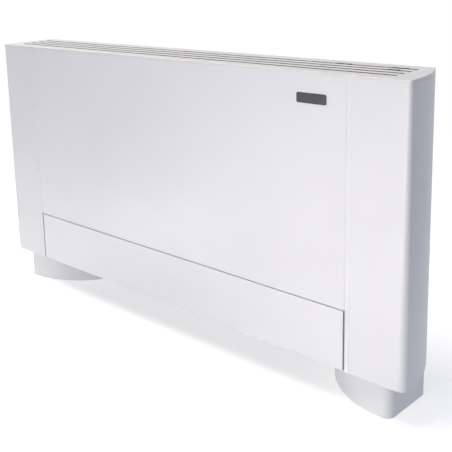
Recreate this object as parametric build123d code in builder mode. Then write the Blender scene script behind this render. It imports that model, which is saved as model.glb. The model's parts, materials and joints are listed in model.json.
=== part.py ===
from build123d import *
import os
from math import cos, radians, sin, sqrt

# Slim fan convector heater on two feet.  Millimetres.
# X runs along the heater, the front faces -Y, Z is up.
# The origin lies on the floor, in the middle of the heater.

# ---- driving dimensions ----
LENGTH = 1252.0            # across the two bowed ends, at the front
DEPTH = 144.0
BODY_HEIGHT = 580.0        # casing alone, at its front edge
FOOT_HEIGHT = 75.0
TOP_RISE = 5.0             # the top slopes up this much towards the back
END_BOW = 34.0             # how far the ends curve in at the back
SEAM_X = 500.0             # middle of the joint strips
STRIP_WIDTH = 10.0
FLAP_HEIGHT = 124.0
FLAP_GAP = 2.5             # above the flap
FLAP_END_GAP = 4.0         # beside it
SEAM = 0.25                # fitting gap between casing pieces
MOULDED = 2.5              # wall of the moulded covers
SHEET = 1.2                # casing and chassis sheet
CLEAR = 0.3                # least gap between pieces that move apart
PLATE_X = 388.0            # inner face of each chassis end plate
COIL_TILT = 15.0
FAN_RADIUS = 44.0
SHAFT_RADIUS = 4.0
GRILLE_PITCH = 24.5        # from slat to slat
GAP_WIDTH = 12.0

# ---- worked out from them ----
END_X = LENGTH / 2
FRONT = -DEPTH / 2
BACK = DEPTH / 2
BASE = FOOT_HEIGHT
TOP = BASE + BODY_HEIGHT
BOW_START = FRONT + 16                     # the ends are straight up to here
BOW_RUN = BACK - BOW_START
BOW_RADIUS = (END_BOW**2 + BOW_RUN**2) / (2 * END_BOW)
BOW_CENTRE_X = END_X - BOW_RADIUS
COVER_X = SEAM_X + STRIP_WIDTH / 2 + SEAM  # inner edge of a side cover
PANEL_X = SEAM_X - STRIP_WIDTH / 2 - SEAM  # end of the front panel
FLAP_X = SEAM_X - STRIP_WIDTH / 2 - FLAP_END_GAP
GRILLE_UNDER = TOP - 4
PANEL_TOP = GRILLE_UNDER - CLEAR
FLAP_TOP = BASE + FLAP_HEIGHT
PANEL_BOTTOM = FLAP_TOP + FLAP_GAP
CHASSIS_BACK = BACK - 1.5
CHASSIS_FRONT = CHASSIS_BACK - SHEET
CHASSIS_TOP = TOP - 16
CHASSIS_BOTTOM = BASE + 8
SLOT_YS = [GRILLE_PITCH * (n - 1.5) for n in range(4)]
SLAT_YS = [GRILLE_PITCH * (n - 1) for n in range(3)]
SLAT_WIDTH = GRILLE_PITCH - GAP_WIDTH
GRILLE_END = END_X - 48
GRILLE_HALF = SLOT_YS[3] + GAP_WIDTH / 2   # front and back edge of the slotted field
LID_START = END_X - 235

os.makedirs("parts", exist_ok=True)


def save(builder, name):
    """Label a finished piece and write it as its own STEP file."""
    builder.part.label = name
    export_step(builder.part, f"parts/{name}.step")


def block(x0, x1, y0, y1, z0, z1, mode=Mode.ADD):
    """A box between two corners."""
    with Locations(((x0 + x1) / 2, (y0 + y1) / 2, (z0 + z1) / 2)):
        Box(x1 - x0, y1 - y0, z1 - z0, mode=mode)


def rod_x(x0, x1, y, z, radius, mode=Mode.ADD):
    """A round bar along X."""
    with Locations(((x0 + x1) / 2, y, z)):
        Cylinder(radius, x1 - x0, rotation=(0, 90, 0), mode=mode)


def rod_y(x, y0, y1, z, radius, mode=Mode.ADD):
    """A round bar along Y."""
    with Locations((x, (y0 + y1) / 2, z)):
        Cylinder(radius, y1 - y0, rotation=(90, 0, 0), mode=mode)


def rod_z(x, y, z0, z1, radius, mode=Mode.ADD):
    """An upright round bar."""
    with Locations((x, y, (z0 + z1) / 2)):
        Cylinder(radius, z1 - z0, mode=mode)


def mirrored(builder, name):
    """Write the left-hand twin of a right-hand piece."""
    with BuildPart() as twin:
        mirror(builder.part, about=Plane.YZ)
    save(twin, name)


def end_plan(x_inner, inset, corner, y_back):
    """Plan of one end: flat front, rounded corner, bowed side."""
    side = BOW_RADIUS - inset
    front = FRONT + inset

    def bowed(y):
        return (BOW_CENTRE_X + sqrt(side**2 - (y - BOW_START) ** 2), y)

    with BuildSketch(Plane.XY, mode=Mode.PRIVATE) as plan:
        with BuildLine():
            Polyline((x_inner, y_back), (x_inner, front), (END_X - inset, front),
                     (END_X - inset, BOW_START))
            ThreePointArc((END_X - inset, BOW_START), bowed((BOW_START + y_back) / 2), bowed(y_back))
            Line(bowed(y_back), (x_inner, y_back))
        make_face()
        corners = plan.vertices().filter_by(lambda v: abs(v.Y - front) < 0.01).sort_by(Axis.X)
        fillet(corners[-1], corner)
    return plan.sketch


def top_z(y):
    """Height of the sloping top at a given depth."""
    return TOP + TOP_RISE * (y - FRONT) / DEPTH


SLOT_EASE = 0.8            # chamfer along the upper edges of the slots
SLOT_LIP = 0.4             # upright wall below that chamfer
UNDERCUT = 3.5             # how far each slat narrows towards its underside


def slot_section(y0, y1, undercut):
    """Cross-section of a cut through the top: eased above, wider below."""
    lip0 = top_z(y0) - SLOT_EASE
    lip1 = top_z(y1) - SLOT_EASE
    low, high = GRILLE_UNDER - 1, TOP + 10
    with BuildSketch(mode=Mode.PRIVATE) as cut:
        with BuildLine():
            Polyline((y0 - undercut, low), (y0 - undercut, GRILLE_UNDER), (y0, lip0 - SLOT_LIP), (y0, lip0),
                     (y0 - SLOT_EASE, top_z(y0)), (y0 - SLOT_EASE, high), (y1 + SLOT_EASE, high),
                     (y1 + SLOT_EASE, top_z(y1)), (y1, lip1), (y1, lip1 - SLOT_LIP),
                     (y1 + undercut, GRILLE_UNDER), (y1 + undercut, low), close=True)
        make_face()
    return cut.sketch


def slat_section(y, back_undercut):
    """Cross-section of a slat between two slots."""
    front, back = y - SLAT_WIDTH / 2, y + SLAT_WIDTH / 2
    with BuildSketch(mode=Mode.PRIVATE) as slat:
        with BuildLine():
            Polyline((front + UNDERCUT, GRILLE_UNDER), (front, top_z(front) - SLOT_EASE - SLOT_LIP),
                     (front, top_z(front) - SLOT_EASE), (front + SLOT_EASE, top_z(front)),
                     (back - SLOT_EASE, top_z(back)), (back, top_z(back) - SLOT_EASE),
                     (back, top_z(back) - SLOT_EASE - SLOT_LIP), (back - back_undercut, GRILLE_UNDER),
                     close=True)
        make_face()
    return slat.sketch


# ---- side covers: moulded, rounder towards the foot ----
COVER_TOP_CORNER = 8.0
COVER_LOW_CORNER = 14.0
COVER_LOW_EDGE = 1.5
BACK_RETURN_X = END_X - 52                 # back return reaches in to here
with BuildPart() as side_cover:
    with BuildSketch(Plane.XY.offset(BASE)):
        add(end_plan(COVER_X, 0, COVER_LOW_CORNER, BACK))
    with BuildSketch(Plane.XY.offset(PANEL_TOP)):
        add(end_plan(COVER_X, 0, COVER_TOP_CORNER, BACK))
    loft()
    lower_edges = side_cover.faces().sort_by(Axis.Z)[0].edges()
    fillet(lower_edges.filter_by(lambda e: e.center().X > COVER_X + 1), COVER_LOW_EDGE)
    with BuildSketch(Plane.XY.offset(BASE + MOULDED)):
        add(end_plan(COVER_X - 5, MOULDED, COVER_LOW_CORNER - MOULDED, BACK - MOULDED))
    with BuildSketch(Plane.XY.offset(PANEL_TOP + 1)):
        add(end_plan(COVER_X - 5, MOULDED, COVER_TOP_CORNER - MOULDED / 2, BACK - MOULDED))
    loft(mode=Mode.SUBTRACT)
    block(COVER_X - 5, BACK_RETURN_X, 0, BACK + 1, BASE + 12, PANEL_TOP + 1, Mode.SUBTRACT)
    block(COVER_X - 5, END_X - 48, FRONT + 30, BACK + 1, BASE - 1, BASE + 12, Mode.SUBTRACT)
save(side_cover, "side_cover_right")
mirrored(side_cover, "side_cover_left")

# ---- joint strips between the front panel and the side covers ----
with BuildPart() as joint_strips:
    for side in (-1, 1):
        with BuildSketch(Plane.XY.offset(BASE)):
            with Locations((side * SEAM_X, FRONT + 0.9)):
                Rectangle(STRIP_WIDTH, 1.8)
            with Locations((side * SEAM_X, FRONT + 6)):
                Rectangle(3, 12)
        extrude(amount=PANEL_TOP - BASE)
    front_edges = joint_strips.edges().filter_by(Axis.Z).group_by(Axis.Y)[0]
    fillet(front_edges, 0.6)
save(joint_strips, "joint_strips")

# ---- front panel: a folded sheet pan ----
PANEL_RETURN = 12.0
with BuildPart() as front_panel:
    block(-PANEL_X, PANEL_X, FRONT, FRONT + PANEL_RETURN, PANEL_BOTTOM, PANEL_TOP)
    outer_edges = front_panel.edges().filter_by(Axis.Z).group_by(Axis.Y)[0]
    fillet(outer_edges, 1.5)
    block(-PANEL_X + SHEET, PANEL_X - SHEET, FRONT + SHEET, FRONT + PANEL_RETURN + 1,
          PANEL_BOTTOM + SHEET, PANEL_TOP - SHEET, Mode.SUBTRACT)
save(front_panel, "front_panel")

FOAM = 5.0
FOAM_MARGIN = 20.0
with BuildPart() as front_insulation:
    block(-PANEL_X + FOAM_MARGIN, PANEL_X - FOAM_MARGIN, FRONT + SHEET, FRONT + SHEET + FOAM,
          PANEL_BOTTOM + FOAM_MARGIN, PANEL_TOP - FOAM_MARGIN)
save(front_insulation, "front_insulation")

# ---- plain badge plate, high on the right of the front panel ----
BADGE = (70.0, 20.0, 1.0)
BADGE_X = END_X - 211
BADGE_Z = BASE + 529
with BuildPart() as badge_plate:
    with BuildSketch(Plane.XZ.offset(-FRONT)):
        with Locations((BADGE_X, BADGE_Z)):
            RectangleRounded(BADGE[0], BADGE[1], 4)
    extrude(amount=BADGE[2])
    fillet(badge_plate.faces().sort_by(Axis.Y)[0].edges(), 0.5)
save(badge_plate, "badge_plate")

# ---- top grille: one moulding with sloping top, slats and end caps ----
RIB_PITCH = 62.0
RIB_COUNT = 16
RIB_DEPTH = 9.0
RIB_SHEET = 2.0
RIB_ROOT = 0.5              # ribs reach this far into the slats
GRILLE_CORNER = 4.0
RIB_SIDE = GRILLE_HALF + UNDERCUT + RIB_SHEET / 2
with BuildPart() as top_grille:
    with BuildSketch(Plane.YZ):
        with BuildLine():
            Polyline((FRONT, GRILLE_UNDER), (FRONT, TOP), (BACK, TOP + TOP_RISE),
                     (BACK, GRILLE_UNDER), close=True)
        make_face()
    extrude(amount=END_X, both=True)
    with BuildSketch(Plane.XY.offset(GRILLE_UNDER - 1)):
        add(end_plan(0, 0, GRILLE_CORNER, BACK))
        mirror(about=Plane.YZ)
    extrude(amount=20, mode=Mode.INTERSECT)
    top_face = top_grille.faces().sort_by(Axis.Z)[-1]
    fillet(top_face.edges(), 1.5)
    with BuildSketch(Plane.YZ.offset(-GRILLE_END)):
        for y in SLOT_YS:
            add(slot_section(y - GAP_WIDTH / 2, y + GAP_WIDTH / 2, UNDERCUT))
    extrude(amount=GRILLE_END + LID_START, mode=Mode.SUBTRACT)
    with BuildSketch(Plane.YZ.offset(LID_START)):
        add(slot_section(-GRILLE_HALF, GRILLE_HALF, 0))
    extrude(amount=GRILLE_END - LID_START, mode=Mode.SUBTRACT)
    for n in range(RIB_COUNT):
        x = LID_START - 6 - n * RIB_PITCH
        block(x - RIB_SHEET / 2, x + RIB_SHEET / 2, -RIB_SIDE, RIB_SIDE,
              GRILLE_UNDER - RIB_DEPTH, GRILLE_UNDER + RIB_ROOT)
    for y in (-RIB_SIDE, RIB_SIDE):
        block(-GRILLE_END, GRILLE_END, y - RIB_SHEET / 2, y + RIB_SHEET / 2,
              GRILLE_UNDER - RIB_DEPTH, GRILLE_UNDER + RIB_ROOT)
save(top_grille, "top_grille")

# ---- control lid: three short slats that lift over the controls ----
LID_X = (LID_START + 1, GRILLE_END - 1)
LID_AXIS_Y = SLOT_YS[3]
LID_AXIS_Z = TOP - 1
LID_PIN = 1.5
LID_RIBS = 4
LID_RIB_PITCH = 40.0
PIVOT_PLAY = 0.06          # radial clearance round the small pivots
CLIP_CENTRES = (LID_START + 20, GRILLE_END - 40)
with BuildPart() as control_lid:
    with BuildSketch(Plane.YZ.offset(LID_X[0])):
        for y in SLAT_YS[:2]:
            add(slat_section(y, UNDERCUT))
        add(slat_section(SLAT_YS[2], 0))
    extrude(amount=LID_X[1] - LID_X[0])
    for n in range(LID_RIBS):
        x = LID_X[0] + (n + 0.8) * LID_RIB_PITCH
        block(x - RIB_SHEET / 2, x + RIB_SHEET / 2, SLAT_YS[0] - RIB_SHEET, SLAT_YS[2] + RIB_SHEET,
              GRILLE_UNDER - RIB_DEPTH + 2, GRILLE_UNDER + RIB_ROOT)
save(control_lid, "control_lid")

KNUCKLE_HALF = 12.0
CHEEK = (12.5, 16.5)       # sides of a clip's cheek, from the middle of the clip
HINGE_RAIL = 1.2
with BuildPart() as lid_knuckles:
    for x in CLIP_CENTRES:
        knuckle = (x - KNUCKLE_HALF, x + KNUCKLE_HALF)
        rod_x(*knuckle, LID_AXIS_Y, LID_AXIS_Z, 4)
        block(*knuckle, SLAT_YS[2] + SLAT_WIDTH / 2, LID_AXIS_Y + 1.5, LID_AXIS_Z - 3, LID_AXIS_Z + 5.3)
        rod_x(knuckle[0] - 1, knuckle[1] + 1, LID_AXIS_Y, LID_AXIS_Z, LID_PIN + PIVOT_PLAY, Mode.SUBTRACT)
save(lid_knuckles, "lid_knuckles")

# The clips stand on a thin rail along the back of the opening.
rail_ends = [LID_X[0] + 1]
for x in CLIP_CENTRES:
    rail_ends += [x - CHEEK[1], x + CHEEK[1]]
rail_ends.append(LID_X[1] - 1)
with BuildPart() as lid_hinge_clips:
    for start, end in zip(rail_ends[::2], rail_ends[1::2]):
        block(start, end, GRILLE_HALF - HINGE_RAIL, GRILLE_HALF, GRILLE_UNDER, LID_AXIS_Z + 3.5)
    for x in CLIP_CENTRES:
        for side in (-1, 1):
            cheek = sorted((x + side * CHEEK[0], x + side * CHEEK[1]))
            block(*cheek, LID_AXIS_Y - 3, GRILLE_HALF, LID_AXIS_Z - 3, LID_AXIS_Z + 5)
            rod_x(cheek[0] - 1, cheek[1] + 1, LID_AXIS_Y, LID_AXIS_Z, LID_PIN, Mode.SUBTRACT)
save(lid_hinge_clips, "lid_hinge_clips")

with BuildPart() as lid_hinge_pins:
    for x in CLIP_CENTRES:
        rod_x(x - 16.5, x + 16.5, LID_AXIS_Y, LID_AXIS_Z, LID_PIN)
save(lid_hinge_pins, "lid_hinge_pins")

PULL_X = (CLIP_CENTRES[1] - 12, CLIP_CENTRES[1] + 12)
PULL_SLOT = (SLOT_YS[2] - GAP_WIDTH / 2, SLOT_YS[2] + GAP_WIDTH / 2)
with BuildPart() as lid_finger_pull:
    with BuildSketch(Plane.YZ.offset(PULL_X[0])):
        add(slot_section(*PULL_SLOT, UNDERCUT))
    extrude(amount=PULL_X[1] - PULL_X[0])
    block(*PULL_X, PULL_SLOT[0] - 5, PULL_SLOT[1] + 5, GRILLE_UNDER + 1, TOP + 3.2, Mode.INTERSECT)
save(lid_finger_pull, "lid_finger_pull")

# ---- intake flap along the foot of the front, hinged at its lower edge ----
FLAP_SHEET = 1.5
FLAP_RETURN = 12.0
FLAP_AXIS_Y = FRONT + 8
FLAP_AXIS_Z = BASE + 6
FLAP_PIN = 2.5
HINGE_XS = (-FLAP_X + 24, FLAP_X - 24)
with BuildPart() as intake_flap:
    block(-FLAP_X, FLAP_X, FRONT, FRONT + FLAP_RETURN, BASE + 1, FLAP_TOP)
    fillet(intake_flap.faces().sort_by(Axis.Y)[0].edges(), 1.0)
    block(-FLAP_X + FLAP_SHEET, FLAP_X - FLAP_SHEET, FRONT + FLAP_SHEET, FRONT + FLAP_RETURN + 1,
          BASE, FLAP_TOP - FLAP_SHEET, Mode.SUBTRACT)
    for x in HINGE_XS:
        block(x - 2, x + 2, FRONT + FLAP_SHEET, FLAP_AXIS_Y, FLAP_AXIS_Z - 4, FLAP_AXIS_Z + 4)
        rod_x(x - 2, x + 2, FLAP_AXIS_Y, FLAP_AXIS_Z, 5)
        rod_x(x - 3, x + 3, FLAP_AXIS_Y, FLAP_AXIS_Z, FLAP_PIN + PIVOT_PLAY, Mode.SUBTRACT)
save(intake_flap, "intake_flap")

RAIL_Y = FRONT + 20
with BuildPart() as flap_hinge_brackets:
    for x in HINGE_XS:
        for side in (-1, 1):
            ear = (x + side * 3, x + side * 6)
            block(min(ear), max(ear), FLAP_AXIS_Y - 3.5, RAIL_Y, FLAP_AXIS_Z - 3.5, FLAP_AXIS_Z + 5)
            rod_x(min(ear) - 1, max(ear) + 1, FLAP_AXIS_Y, FLAP_AXIS_Z, FLAP_PIN, Mode.SUBTRACT)
        block(x - 6, x + 6, RAIL_Y - 2, RAIL_Y, FLAP_AXIS_Z - 3.5, FLAP_AXIS_Z + 5)
save(flap_hinge_brackets, "flap_hinge_brackets")

with BuildPart() as flap_hinge_pins:
    for x in HINGE_XS:
        rod_x(x - 6, x + 6, FLAP_AXIS_Y, FLAP_AXIS_Z, FLAP_PIN)
        rod_x(x + 6, x + 7.5, FLAP_AXIS_Y, FLAP_AXIS_Z, FLAP_PIN + 1.5)
save(flap_hinge_pins, "flap_hinge_pins")

MAGNET_X = 300.0
with BuildPart() as flap_magnets:
    for x in (-MAGNET_X, 0, MAGNET_X):
        block(x - 12, x + 12, FRONT + FLAP_SHEET + CLEAR, FRONT + 14, FLAP_TOP - 12, FLAP_TOP - 3)
save(flap_magnets, "flap_magnets")

# ---- chassis: rear panel, end plates and two front rails ----
CHASSIS_X = END_X - 56
CHASSIS_FLANGE = 14.0
LEG_X = (515.0, 575.0)     # sides of the right foot's steel leg
WALL_HOLES_X = 520.0
WALL_HOLES_Z = (BASE + 105, BASE + 525)
WALL_HOLE = 4.5
with BuildPart() as rear_chassis:
    block(-CHASSIS_X, CHASSIS_X, CHASSIS_FRONT, CHASSIS_BACK, CHASSIS_BOTTOM, CHASSIS_TOP)
    block(-CHASSIS_X, CHASSIS_X, CHASSIS_FRONT - CHASSIS_FLANGE, CHASSIS_BACK, CHASSIS_TOP - SHEET, CHASSIS_TOP)
    block(-LEG_X[0] + 3, LEG_X[0] - 3, CHASSIS_FRONT - CHASSIS_FLANGE, CHASSIS_BACK,
          CHASSIS_BOTTOM, CHASSIS_BOTTOM + SHEET)
    for z in (BASE + 200, BASE + 400):
        block(-PLATE_X + 10, PLATE_X - 10, CHASSIS_FRONT - 4, CHASSIS_FRONT, z - 12, z + 12)
        block(-PLATE_X + 16, PLATE_X - 16, CHASSIS_FRONT - 3, CHASSIS_BACK, z - 8, z + 8, Mode.SUBTRACT)
        block(-PLATE_X + 14, PLATE_X - 14, CHASSIS_FRONT - 4, CHASSIS_FRONT - 3, z - 10, z + 10)
    for x in (-WALL_HOLES_X, WALL_HOLES_X):
        for z in WALL_HOLES_Z:
            rod_y(x, CHASSIS_FRONT - 2, CHASSIS_BACK + 1, z, WALL_HOLE, Mode.SUBTRACT)
save(rear_chassis, "rear_chassis")

FAN_Y = 0.0
FAN_Z = BASE + 95
TRAY = (-60.0, 2.0, BASE + 187, BASE + 213)   # front, back, under, rim
COIL_Y = 4.0
COIL_Z = BASE + 325
TUBE_PITCH = 25.0
ROW_PITCH = 22.0
TUBE_RADIUS = 4.8
TUBE_BORE = 4.3
TUBE_COUNT = 8
PLATE_SHEET = 1.5
PLATE_FRONT = FRONT + 24
COIL_ACROSS = (0, cos(radians(COIL_TILT)), -sin(radians(COIL_TILT)))


def coil_plane(x):
    """Cross-section of the leaning coil: local Y runs up its length."""
    return Plane(origin=(x, COIL_Y, COIL_Z), x_dir=COIL_ACROSS, z_dir=(1, 0, 0))


def coil_yz(across, along):
    """World Y and Z of a point of the coil's cross-section."""
    tilt = radians(COIL_TILT)
    return (COIL_Y + across * cos(tilt) + along * sin(tilt),
            COIL_Z - across * sin(tilt) + along * cos(tilt))


ROWS = [(row - 0.5) * ROW_PITCH for row in range(2)]
LEVELS = [(n - (TUBE_COUNT - 1) / 2) * TUBE_PITCH for n in range(TUBE_COUNT)]
TUBE_POINTS = [(u, v) for u in ROWS for v in LEVELS]
BEARING_SEAT = 20.0


def end_plate(side, name):
    """Chassis end plate with its front flange, fan opening, tray notch and tube holes."""
    inner = side * PLATE_X
    outer = side * (PLATE_X + PLATE_SHEET)
    low, high = min(inner, outer), max(inner, outer)
    with BuildPart() as plate:
        block(low, high, PLATE_FRONT, CHASSIS_FRONT, CHASSIS_BOTTOM + SHEET, CHASSIS_TOP - SHEET)
        flange = (outer, outer + side * 12)
        block(min(flange), max(flange), PLATE_FRONT, PLATE_FRONT + PLATE_SHEET,
              FLAP_TOP + 10, CHASSIS_TOP - SHEET)
        back_flange = (CHASSIS_FRONT - PLATE_SHEET, CHASSIS_FRONT)
        block(min(flange), max(flange), *back_flange, BASE + 110, CHASSIS_TOP - 20)
        rod_x(low - 1, high + 1, FAN_Y, FAN_Z, BEARING_SEAT, Mode.SUBTRACT)
        notch = (min(low, *flange) - 1, max(high, *flange) + 1)
        block(*notch, TRAY[0] - 2, TRAY[1] + 2, TRAY[2], TRAY[3] + 2, Mode.SUBTRACT)
        with BuildSketch(coil_plane(low - 1)):
            Rectangle(ROW_PITCH * 2 + 6, TUBE_PITCH * TUBE_COUNT + 16)
        extrude(amount=PLATE_SHEET + 2, mode=Mode.SUBTRACT)
    save(plate, name)


end_plate(-1, "end_plate_left")
end_plate(1, "end_plate_right")

with BuildPart() as bottom_rail:
    block(-FLAP_X, FLAP_X, RAIL_Y, RAIL_Y + SHEET, BASE + 2, BASE + 18)
    block(-FLAP_X, FLAP_X, RAIL_Y, RAIL_Y + 4, BASE + 18, BASE + 18 + SHEET)
save(bottom_rail, "bottom_rail")

with BuildPart() as front_rail:
    block(-PANEL_X + 4, PANEL_X - 4, FRONT + 14, FRONT + 14 + SHEET, FLAP_TOP - 14, FLAP_TOP + 14)
    block(-PANEL_X + 4, PANEL_X - 4, FRONT + 14, RAIL_Y + 4, FLAP_TOP + 14, FLAP_TOP + 14 + SHEET)
save(front_rail, "front_rail")

# ---- cross-flow fan: blades between rings, stub shafts ----
WHEEL_X = 360.0
BLADE_INNER = 33.0
BLADE_SHEET = 0.9
BLADE_COUNT = 28
RING_COUNT = 7             # an end disc, five rings and an end disc
RING_SHEET = 2.0
with BuildSketch(mode=Mode.PRIVATE) as blade:
    with BuildLine():
        ThreePointArc((BLADE_INNER, 0), (FAN_RADIUS - 5, 2.2), (FAN_RADIUS - 0.6, 7))
        ThreePointArc((BLADE_INNER, BLADE_SHEET), (FAN_RADIUS - 5.6, 2.2 + BLADE_SHEET),
                      (FAN_RADIUS - 1.2, 7.6))
        Line((BLADE_INNER, 0), (BLADE_INNER, BLADE_SHEET))
        Line((FAN_RADIUS - 0.6, 7), (FAN_RADIUS - 1.2, 7.6))
    make_face()
with BuildPart() as fan_wheel:
    with BuildSketch(Plane.YZ.offset(-WHEEL_X)):
        with PolarLocations(0, BLADE_COUNT):
            add(blade.sketch)
    extrude(amount=2 * WHEEL_X)
    for n in range(RING_COUNT):
        x = -WHEEL_X + n * (2 * WHEEL_X - RING_SHEET) / (RING_COUNT - 1)
        with BuildSketch(Plane.YZ.offset(x)):
            Circle(FAN_RADIUS + 1)
            if 0 < n < RING_COUNT - 1:
                Circle(BLADE_INNER - 2, mode=Mode.SUBTRACT)
        extrude(amount=RING_SHEET)
    for side in (-1, 1):
        rod_x(side * (WHEEL_X - 7) - 7, side * (WHEEL_X - 7) + 7, 0, 0, 10)
        rod_x(side * (WHEEL_X - 7) - 9, side * (WHEEL_X - 7) + 9, 0, 0, SHAFT_RADIUS, Mode.SUBTRACT)
fan_wheel.part = fan_wheel.part.moved(Location((0, FAN_Y, FAN_Z)))
save(fan_wheel, "fan_wheel")

with BuildPart() as fan_shaft:
    rod_x(-PLATE_X - 16, -WHEEL_X + 14, FAN_Y, FAN_Z, SHAFT_RADIUS)
    rod_x(WHEEL_X - 14, PLATE_X + 44, FAN_Y, FAN_Z, SHAFT_RADIUS)
save(fan_shaft, "fan_shaft")

RUNNING = 0.04             # radial clearance of the shaft in its bearings
with BuildPart() as shaft_bearing:
    rod_x(-PLATE_X - 5, -PLATE_X + 3, FAN_Y, FAN_Z, 11)
    rod_x(-PLATE_X - 6, -PLATE_X + 4, FAN_Y, FAN_Z, SHAFT_RADIUS + RUNNING, Mode.SUBTRACT)
save(shaft_bearing, "shaft_bearing")

with BuildPart() as bearing_mount:
    rod_x(-PLATE_X - 4, -PLATE_X + 2, FAN_Y, FAN_Z, BEARING_SEAT)
    rod_x(-PLATE_X - 4, -PLATE_X - PLATE_SHEET, FAN_Y, FAN_Z, BEARING_SEAT + 3)
    rod_x(-PLATE_X - 5, -PLATE_X + 3, FAN_Y, FAN_Z, 11, Mode.SUBTRACT)
save(bearing_mount, "bearing_mount")

# ---- fan housing: rear guide behind the wheel, tongue in front ----
GUIDE_RADIUS = FAN_RADIUS + 6
DUCT_TOP = BASE + 184
with BuildPart() as fan_scroll:
    with BuildSketch(Plane.YZ.offset(-PLATE_X)):
        with Locations((FAN_Y, FAN_Z)):
            Circle(GUIDE_RADIUS + SHEET)
            Circle(GUIDE_RADIUS, mode=Mode.SUBTRACT)
        with Locations((FAN_Y - 60, FAN_Z)):
            Rectangle(120, 140, mode=Mode.SUBTRACT)
        with Locations((FAN_Y, FAN_Z + 60)):
            Rectangle(140, 120, mode=Mode.SUBTRACT)
        with Locations((FAN_Y + GUIDE_RADIUS + SHEET / 2, (FAN_Z + DUCT_TOP) / 2)):
            Rectangle(SHEET, DUCT_TOP - FAN_Z)
        with Locations((FAN_Y + GUIDE_RADIUS + 8, DUCT_TOP - SHEET / 2)):
            Rectangle(16, SHEET)
    extrude(amount=2 * PLATE_X)
save(fan_scroll, "fan_scroll")

with BuildPart() as fan_tongue:
    block(-PLATE_X, PLATE_X, RAIL_Y + 4, RAIL_Y + 4 + SHEET, FAN_Z + 8, TRAY[2])
    block(-PLATE_X, PLATE_X, RAIL_Y + 4, FAN_Y - 44, FAN_Z + 24, FAN_Z + 24 + SHEET)
save(fan_tongue, "fan_tongue")

# ---- motor on the right end plate, with its run capacitor ----
MOTOR_RADIUS = 38.0
MOTOR_X = (PLATE_X + 8, PLATE_X + 68)
with BuildPart() as motor:
    rod_x(*MOTOR_X, FAN_Y, FAN_Z, MOTOR_RADIUS)
    fillet(motor.edges().filter_by(GeomType.CIRCLE), 4)
    rod_x(PLATE_X + 28, PLATE_X + 48, FAN_Y, FAN_Z, MOTOR_RADIUS + 2)
    rod_x(PLATE_X + 4, PLATE_X + 8, FAN_Y, FAN_Z, 12)
    rod_x(PLATE_X + 3, PLATE_X + 46, FAN_Y, FAN_Z, SHAFT_RADIUS + RUNNING, Mode.SUBTRACT)
save(motor, "motor")

with BuildPart() as motor_bracket:
    block(PLATE_X + PLATE_SHEET, PLATE_X + 4, FAN_Y - 40, FAN_Y + 40, FAN_Z - 48, FAN_Z + 48)
    rod_x(PLATE_X, PLATE_X + 5, FAN_Y, FAN_Z, 12, Mode.SUBTRACT)
    for y in (FAN_Y - 36, FAN_Y + 36):
        for z in (FAN_Z - 44, FAN_Z + 44):
            rod_x(PLATE_X + 4, PLATE_X + 9, y, z, 4)
save(motor_bracket, "motor_bracket")

# ---- water coil: fins on two rows of tubes, end sheets, distributor blocks ----
FIN_SHEET = 0.4
FIN_PITCH = 12.0
FIN_SIZE = (ROW_PITCH * 2, TUBE_PITCH * TUBE_COUNT)
FIN_END = 366.0
FIN_COUNT = int(2 * FIN_END / FIN_PITCH) + 1
TUBE_END = PLATE_X + 10
with BuildPart() as fin:
    with BuildSketch(coil_plane(0)):
        Rectangle(*FIN_SIZE)
        with Locations(*TUBE_POINTS):
            Circle(TUBE_RADIUS + 0.05, mode=Mode.SUBTRACT)
    extrude(amount=FIN_SHEET)
with BuildPart() as coil_fins:
    with Locations(*[(-FIN_END + n * FIN_PITCH, 0, 0) for n in range(FIN_COUNT)]):
        add(fin.part)
save(coil_fins, "coil_fins")

with BuildPart() as coil_end_sheets:
    for x in (-PLATE_X, PLATE_X - PLATE_SHEET):
        with BuildSketch(coil_plane(x)):
            Rectangle(FIN_SIZE[0] + 12, FIN_SIZE[1] + 12)
            with Locations(*TUBE_POINTS):
                Circle(TUBE_RADIUS, mode=Mode.SUBTRACT)
        extrude(amount=PLATE_SHEET)
save(coil_end_sheets, "coil_end_sheets")


def tube_ring(points):
    """Cross-sections of the copper tubes at some points of the coil."""
    with Locations(*points):
        Circle(TUBE_RADIUS)
        Circle(TUBE_BORE, mode=Mode.SUBTRACT)


with BuildPart() as coil_tubes:
    with BuildSketch(coil_plane(-TUBE_END)):
        tube_ring(TUBE_POINTS)
    extrude(amount=2 * TUBE_END)
save(coil_tubes, "coil_tubes")

with BuildPart() as coil_bends:
    for side, first in ((1, 0), (-1, 1)):
        for u in ROWS:
            for n in range(first, TUBE_COUNT - 1, 2):
                middle = coil_yz(u, (LEVELS[n] + LEVELS[n + 1]) / 2)
                turn = Axis((side * TUBE_END, *middle), tuple(-side * c for c in COIL_ACROSS))
                with BuildSketch(coil_plane(side * TUBE_END)):
                    with Locations((u, LEVELS[n])):
                        Circle(TUBE_RADIUS)
                revolve(axis=turn, revolution_arc=180)
save(coil_bends, "coil_bends")

# Each distributor block joins both rows and leads to a threaded socket that faces down.
BLOCK_X = (-TUBE_END - 18, -TUBE_END)
SOCKET_UNDER = BASE + 185
SOCKET_RADIUS = 14.0
THREAD_RADIUS = 9.3        # core radius of a half-inch pipe thread
THREAD_DEPTH = 16.0
FLOW_X = -490.0
RETURN_X = -450.0


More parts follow.
